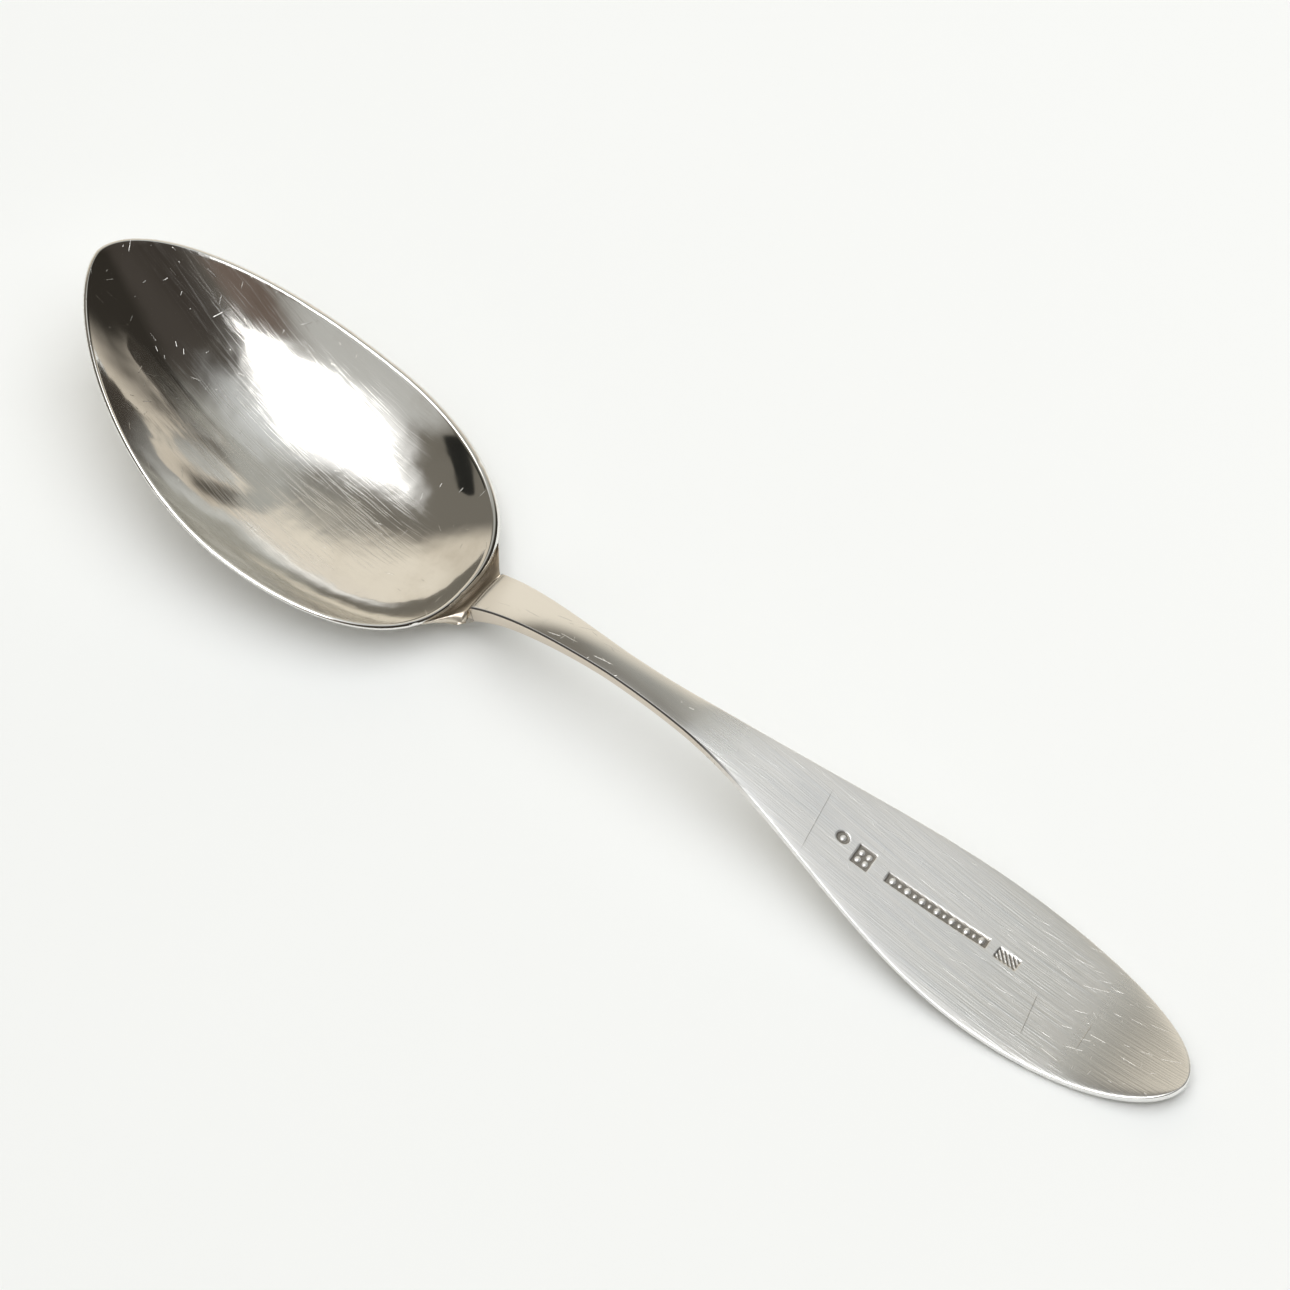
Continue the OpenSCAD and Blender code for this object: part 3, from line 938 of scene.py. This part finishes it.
def pelletPoints():
    points, sizes = [], []
    for name, row in pelletRows.items():
        mark = punches[name]
        for k in range(row["count"]):
            along = (k - (row["count"] - 1) / 2) * row["step"]
            turn = math.radians(mark["turn"])
            for offset in row["lines"]:
                x = mark["x"] + along * math.cos(turn) - offset * math.sin(turn)
                y = mark["y"] + along * math.sin(turn) + offset * math.cos(turn)
                z = float(handleRule.topZ(x)) - punchCut["depth"]
                points.append((x * mm, y * mm, z * mm))
                sizes.append(row["size"] * (row["second"] if k % 2 else 1.0))
    mesh = bpy.data.meshes.new("pelletPoints")
    mesh.from_pydata(points, [], [])
    storeShare(mesh, "size", sizes)
    return mesh


def pelletTree(material):
    tree, known, entry, leave = newGeometryTree(
        "pelletRow", {"Points": "NodeSocketGeometry", "Flatness": "NodeSocketFloat"}
    )
    plugs = {"Radius": mm, "Subdivisions": pelletForm["subdivisions"]}
    ball = addNode(tree, "GeometryNodeMeshIcoSphere", plugs)
    size = addNode(tree, "GeometryNodeInputNamedAttribute", {"Name": "size"}, data_type="FLOAT")
    across = Wire(tree, size.outputs[0])
    grow = joinPlace(tree, [across, across, across * Wire(tree, entry.outputs["Flatness"])])
    plugs = {"Points": entry.outputs["Points"], "Instance": ball.outputs["Mesh"], "Scale": grow}
    put = addNode(tree, "GeometryNodeInstanceOnPoints", plugs)
    endTree(tree, leave, put.outputs[0], material)
    return tree, known


rowTree, rowInputs = pelletTree(handleSkin)
rowValues = {"Flatness": pelletForm["flatness"]}
pellets = growMesh("punch_pellets", rowTree, rowInputs, rowValues, pelletPoints())
placeMesh("punch_pellets", pellets, None)


# Solder in the valley between the bowl's lip and the handle's start
lipSolder = {
    "spread": 40.0, "inner": 0.8, "tailSpread": 6.0, "tailReach": 0.12, "tailThick": 0.012,
    "low": 0.968, "high": 0.996, "dip": 0.6, "inset": 0.4, "valleyAt": 0.45, "shelfAt": 0.85,
    "footAt": 0.1, "wing": (0.4, 0.8), "wingLow": 0.9, "cover": (1.4, 0.65, -0.5),
    "across": 81, "curve": 12, "endRound": 0.12, "endDraw": 0.8,
}


def lipSolderMesh(spec):
    gap = handleRule.z["gap"]
    coverX, coverY, coverZ = spec["cover"]
    rings = []
    places = np.linspace(1, -1, spec["across"])
    for place in places:
        # Towards its ends the solder runs down over the side of the slope, and past it
        # it thins out along the rim
        wing = fade(abs(place), *spec["wing"])
        tail = max(0.0, abs(place) - spec["inner"]) / (1 - spec["inner"])
        s = math.pi - place * math.radians(spec["spread"] / 2 + spec["tailSpread"] * tail)
        v = math.sin(min(1.0, max(-1.0, place / spec["inner"])) * math.pi / 2)
        lipTop = backOf(spec["high"], s, gap)
        lowest = mixed(spec["low"], spec["wingLow"], wing)
        lowest = mixed(lowest, spec["high"] - spec["tailThick"], tail)
        lipBottom = backOf(lowest, s, gap)
        high, front = saddleHigh(v), frontTop(v)
        shelf = addPoint(mixPoint(high, front, spec["shelfAt"]), [-gap, 0, 0])
        foot = addPoint(mixPoint(high, front, spec["footAt"]), [-gap, 0, gap])
        base = addPoint(saddleLow(v), [0, 0, gap])
        base = mixPoint(base, addPoint(saddleUnder(v), [coverX, coverY * v, coverZ]), wing)
        foot = mixPoint(foot, addPoint(highUnder(v), [gap, 2 * gap * v, -gap]), wing)
        shelf = addPoint(shelf, [0, gap * v * wing, 0])
        near = mixed(1.0, spec["tailReach"], tail)
        shelf = mixPoint(lipTop, shelf, near)
        foot, base = mixPoint(lipBottom, foot, near), mixPoint(lipBottom, base, near)
        dip = spec["dip"] * (1 - 0.5 * v * v)
        valley = mixPoint(lipTop, shelf, spec["valleyAt"])
        valley = addPoint(valley, [0, -spec["inset"] * v, -dip])
        top = smoothRings([lipTop, valley, shelf], spec["curve"]) + [np.asarray(shelf)]
        rings.append([np.asarray(lipBottom, float), *top, np.asarray(foot), np.asarray(base)])
    rings = np.array(rings, float)
    middles = (rings[:, 1 + spec["curve"]] + rings[:, -1]) / 2
    # The ends draw in round towards the middle of the section
    edge = (np.abs(places) - 1 + spec["endRound"]) / spec["endRound"]
    keep = np.sqrt(1 - spec["endDraw"] * np.clip(edge, 0, 1) ** 2)[:, None, None]
    rings = middles[:, None] + (rings - middles[:, None]) * keep
    mesh = loftMesh("lip_solder_fill", middles[0], rings, middles[-1])
    # Darkest along the valley's floor, lighter on the ears
    depth = 1 - np.abs(np.arange(rings.shape[1]) - 1 - spec["curve"]) / spec["curve"]
    share = np.clip(depth, 0, 1)[None, :] * (1 - places ** 4)[:, None]
    storeShare(mesh, "valleyShare", [0.0, *share.ravel(), 0.0])
    return mesh


placeMesh(
    "lip_solder_fill", lipSolderMesh(lipSolder), solderSkin,
    replaces=("lip_solder",),
)


# Radians around the rim for one millimetre across
def rimTurn(r, s):
    step = math.radians(1.0)
    ahead, behind = (np.array(backOf(r, s + side * step, 0.0)) for side in (1, -1))
    return 2 * step / float(np.linalg.norm(ahead - behind))


# Fillet of solder along the tongue's edge, on the back of the bowl
tongueFillet = {"inner": 0.06, "from": 0.93, "straight": 12, "bend": 20, "height": 0.4,
                "power": 1.6, "across": 7}


def tongueSolderMesh(spec):
    rule, z, gap = handleRule, handleRule.z, handleRule.z["gap"]
    floorReach, roundReach = rule.floorReach, rule.roundReach
    sides = np.linspace(spec["from"], roundReach, spec["straight"], endpoint=False)
    turns = np.radians(np.linspace(0, 90, spec["bend"]))
    bend = [(roundReach - (roundReach - floorReach) * math.sin(a), a) for a in turns]
    half = [(r, 0.0) for r in sides] + bend
    path = [(r, a, 1) for r, a in half] + [(r, a, -1) for r, a in half[-2::-1]]
    heelReach = (1 - bowlRule["bellyAt"]) * bowlRule["length"]
    shares = np.linspace(0, 1, spec["across"])
    rings = []
    for r, a, side in path:
        opening = math.radians(z["tongueSpread"] / 2) * math.cos(a)
        fan = rimTurn(r, math.pi - side * opening)
        crest = tongueThick(r) * spec["height"]
        section = [(share, gap + crest * (1 - share) ** spec["power"]) for share in shares]
        section += [(share, gap / 2) for share in (1.0, 0.5, 0.0)]
        ring = []
        for share, height in section:
            out = mixed(spec["inner"], z["bead"], share)
            s = math.pi - side * (opening + out * math.cos(a) * fan)
            ring.append(backOf(r - out / heelReach * math.sin(a), s, height))
        rings.append(ring)
    rings = np.array(rings, float)
    return loftMesh("tongue_solder_fillet", rings[0].mean(0), rings, rings[-1].mean(0))


placeMesh(
    "tongue_solder_fillet", tongueSolderMesh(tongueFillet), solderSkin,
    replaces=("tongue_solder",),
)


# Camera: the photograph's view, with its frame taken as a square of 1290 pixels
camera = {"azimuth": 38.07, "elevation": 60.0, "distance": 900.0, "pixelsPerMm": 6.8,
          "frame": 1290, "aside": 4.29, "above": 9.1}


def viewAxes(azimuth, elevation):
    a, e = math.radians(azimuth), math.radians(elevation)
    toward = Vector((math.sin(a) * math.cos(e), -math.cos(a) * math.cos(e), math.sin(e)))
    right = Vector((math.cos(a), math.sin(a), 0.0))
    return toward, right, toward.cross(right)


def placeCamera(spec):
    toward, right, up = viewAxes(spec["azimuth"], spec["elevation"])
    lens = bpy.data.cameras.new("photoCamera")
    lens.sensor_width = 36.0
    lens.lens = spec["pixelsPerMm"] * spec["distance"] / spec["frame"] * lens.sensor_width
    lens.clip_start, lens.clip_end = 0.05, 20.0
    eye = addObject("photoCamera", lens)
    shifted = right * spec["aside"] + up * spec["above"] + toward * spec["distance"]
    eye.location = shifted * mm
    eye.rotation_euler = (-toward).to_track_quat("-Z", "Y").to_euler()
    bpy.context.scene.camera = eye


placeCamera(camera)


# Studio: pale paper floor, a lamp overhead, a soft box that shows in the metal, a dim room
floorLook = {"colour": (0.93, 0.935, 0.915), "half": 6.0, "cloud": 60.0, "shade": 0.985,
             "rough": 0.9, "gloss": 0.1}


def paperFloor(look):
    half = look["half"]
    mesh = bpy.data.meshes.new("paperFloor")
    corners = [(-half, -half, 0), (half, -half, 0), (half, half, 0), (-half, half, 0)]
    mesh.from_pydata(corners, [], [(0, 1, 2, 3)])
    material, tree, shader, place = newMaterial("paper")
    cloud = noise(tree, place, look["cloud"], 3.0, 0.5)
    shade = tuple(c * look["shade"] for c in look["colour"])
    plugAll(tree, shader, {
        "Base Color": colourMix(tree, look["colour"], shade, cloud),
        "Roughness": look["rough"], "Specular IOR Level": look["gloss"],
    })
    mesh.materials.append(material)
    floor = addObject("paperFloor", mesh)


paperFloor(floorLook)

# Directions as degrees from overhead: to the camera's right, and away from the camera
lamps = {
    "softBox": {"aside": -24.5, "away": -20.0, "range": 0.9, "size": (0.50, 0.86), "turn": 10.0,
                "power": 4.0, "tint": (1.0, 1.0, 1.0), "lights": "metal"},
    "topLamp": {"aside": 10.0, "away": 6.0, "range": 1.3, "size": (1.6, 1.6), "turn": 0.0,
                "power": 15.0, "tint": (0.945, 0.967, 1.0), "lights": "floor"},
}


def skyDirection(aside, away):
    right = viewAxes(camera["azimuth"], 0.0)[1]
    ahead = Vector((-right.y, right.x, 0.0))
    flat = math.hypot(aside, away)
    lean = math.radians(flat)
    out = (right * aside + ahead * away) / max(flat, 1e-6)
    return out * math.sin(lean) + Vector((0, 0, math.cos(lean)))


def hangLamp(name, spec):
    light = bpy.data.lights.new(name, "AREA")
    light.shape = "RECTANGLE"
    light.size, light.size_y = spec["size"]
    light.energy = spec["power"]
    light.color = spec["tint"]
    lamp = addObject(name, light)
    direction = skyDirection(spec["aside"], spec["away"])
    lamp.location = direction * spec["range"]
    across = viewAxes(camera["azimuth"], 0.0)[1]
    across = (across - direction * across.dot(direction)).normalized()
    across = Matrix.Rotation(-math.radians(spec["turn"]), 3, direction) @ across
    axes = Matrix((across, direction.cross(across), direction)).transposed()
    lamp.rotation_euler = axes.to_euler()
    lamp.visible_glossy = spec["lights"] == "metal"
    lamp.visible_diffuse = spec["lights"] == "floor"
    lamp.visible_camera = False


for lampName, lampSpec in lamps.items():
    hangLamp(lampName, lampSpec)

# The room as soft patches around the table: aside, away, inner and outer radius in degrees, tone
room = {
    "ground": (0.17, 0.157, 0.133),
    "patches": [
        (24, 26, 10, 34, (0.41, 0.41, 0.38)),
        (25, -52, 12, 44, (0.045, 0.038, 0.032)),
        (40, -22, 8, 30, (0.06, 0.052, 0.045)),
        (4, -2, 4, 28, (0.66, 0.68, 0.68)),
        (-58, -48, 10, 22, (0.50, 0.50, 0.48)),
        # The glow around the soft box
        (-20, -6, 14, 27, (1.0, 1.0, 0.99)),
        (-29, -30, 14, 26, (1.0, 1.0, 0.99)),
        (-16, -24, 12, 24, (1.0, 1.0, 0.99)),
        # Beige walls behind the spoon, and dark ones at its sides
        (-36, 66, 20, 36, (0.66, 0.60, 0.50)),
        (-6, 61, 18, 30, (0.80, 0.74, 0.63)),
        (32, 74, 22, 30, (0.78, 0.72, 0.62)),
        (62, 66, 15, 24, (0.62, 0.56, 0.47)),
        (74, 2, 24, 41, (0.032, 0.028, 0.023)),
        (-24, -64, 6, 14, (0.15, 0.115, 0.095)),
    ],
    "card": {"start": (-68.5, -22), "end": (-62, 7), "half": 4.6, "soft": 1.2,
             "tone": (0.02, 0.02, 0.018)},
}


def facing(tree, look, direction):
    plugs = {0: look, 1: direction}
    node = addNode(tree, "ShaderNodeVectorMath", plugs, operation="DOT_PRODUCT")
    return Wire(tree, node.outputs["Value"])


# Share of a straight card in the room, between two directions
def cardShare(tree, look, spec):
    start, end = (np.array(skyDirection(*spec[key])) for key in ("start", "end"))
    middle = (start + end) / np.linalg.norm(start + end)
    across = np.cross(start, end) / np.linalg.norm(np.cross(start, end))
    half, soft = math.radians(spec["half"]), math.radians(spec["soft"])
    reach = math.acos(float(start @ end)) / 2
    off = calc("ABSOLUTE", facing(tree, look, across))
    wide = 1.0 - fade(off, math.sin(half - soft), math.sin(half))
    return wide * fade(facing(tree, look, middle), math.cos(reach + soft), math.cos(reach))


def roomLight(spec):
    world = bpy.data.worlds.new("room")
    bpy.context.scene.world = world
    world.use_nodes = True
    tree = world.node_tree
    tree.nodes.clear()
    look = addNode(tree, "ShaderNodeTexCoord").outputs["Generated"]
    tone = spec["ground"]
    for aside, away, inner, outer, patchTone in spec["patches"]:
        near = facing(tree, look, skyDirection(aside, away))
        ends = [math.cos(math.radians(angle)) for angle in (outer, inner)]
        tone = colourMix(tree, tone, patchTone, fade(near, *ends))
    tone = colourMix(tree, tone, spec["card"]["tone"], cardShare(tree, look, spec["card"]))
    glow = addNode(tree, "ShaderNodeBackground", {"Color": tone, "Strength": 1.0})
    addNode(tree, "ShaderNodeOutputWorld", {0: glow.outputs[0]})


roomLight(room)
bpy.context.scene.view_settings.view_transform = "Standard"
print("studio ready")
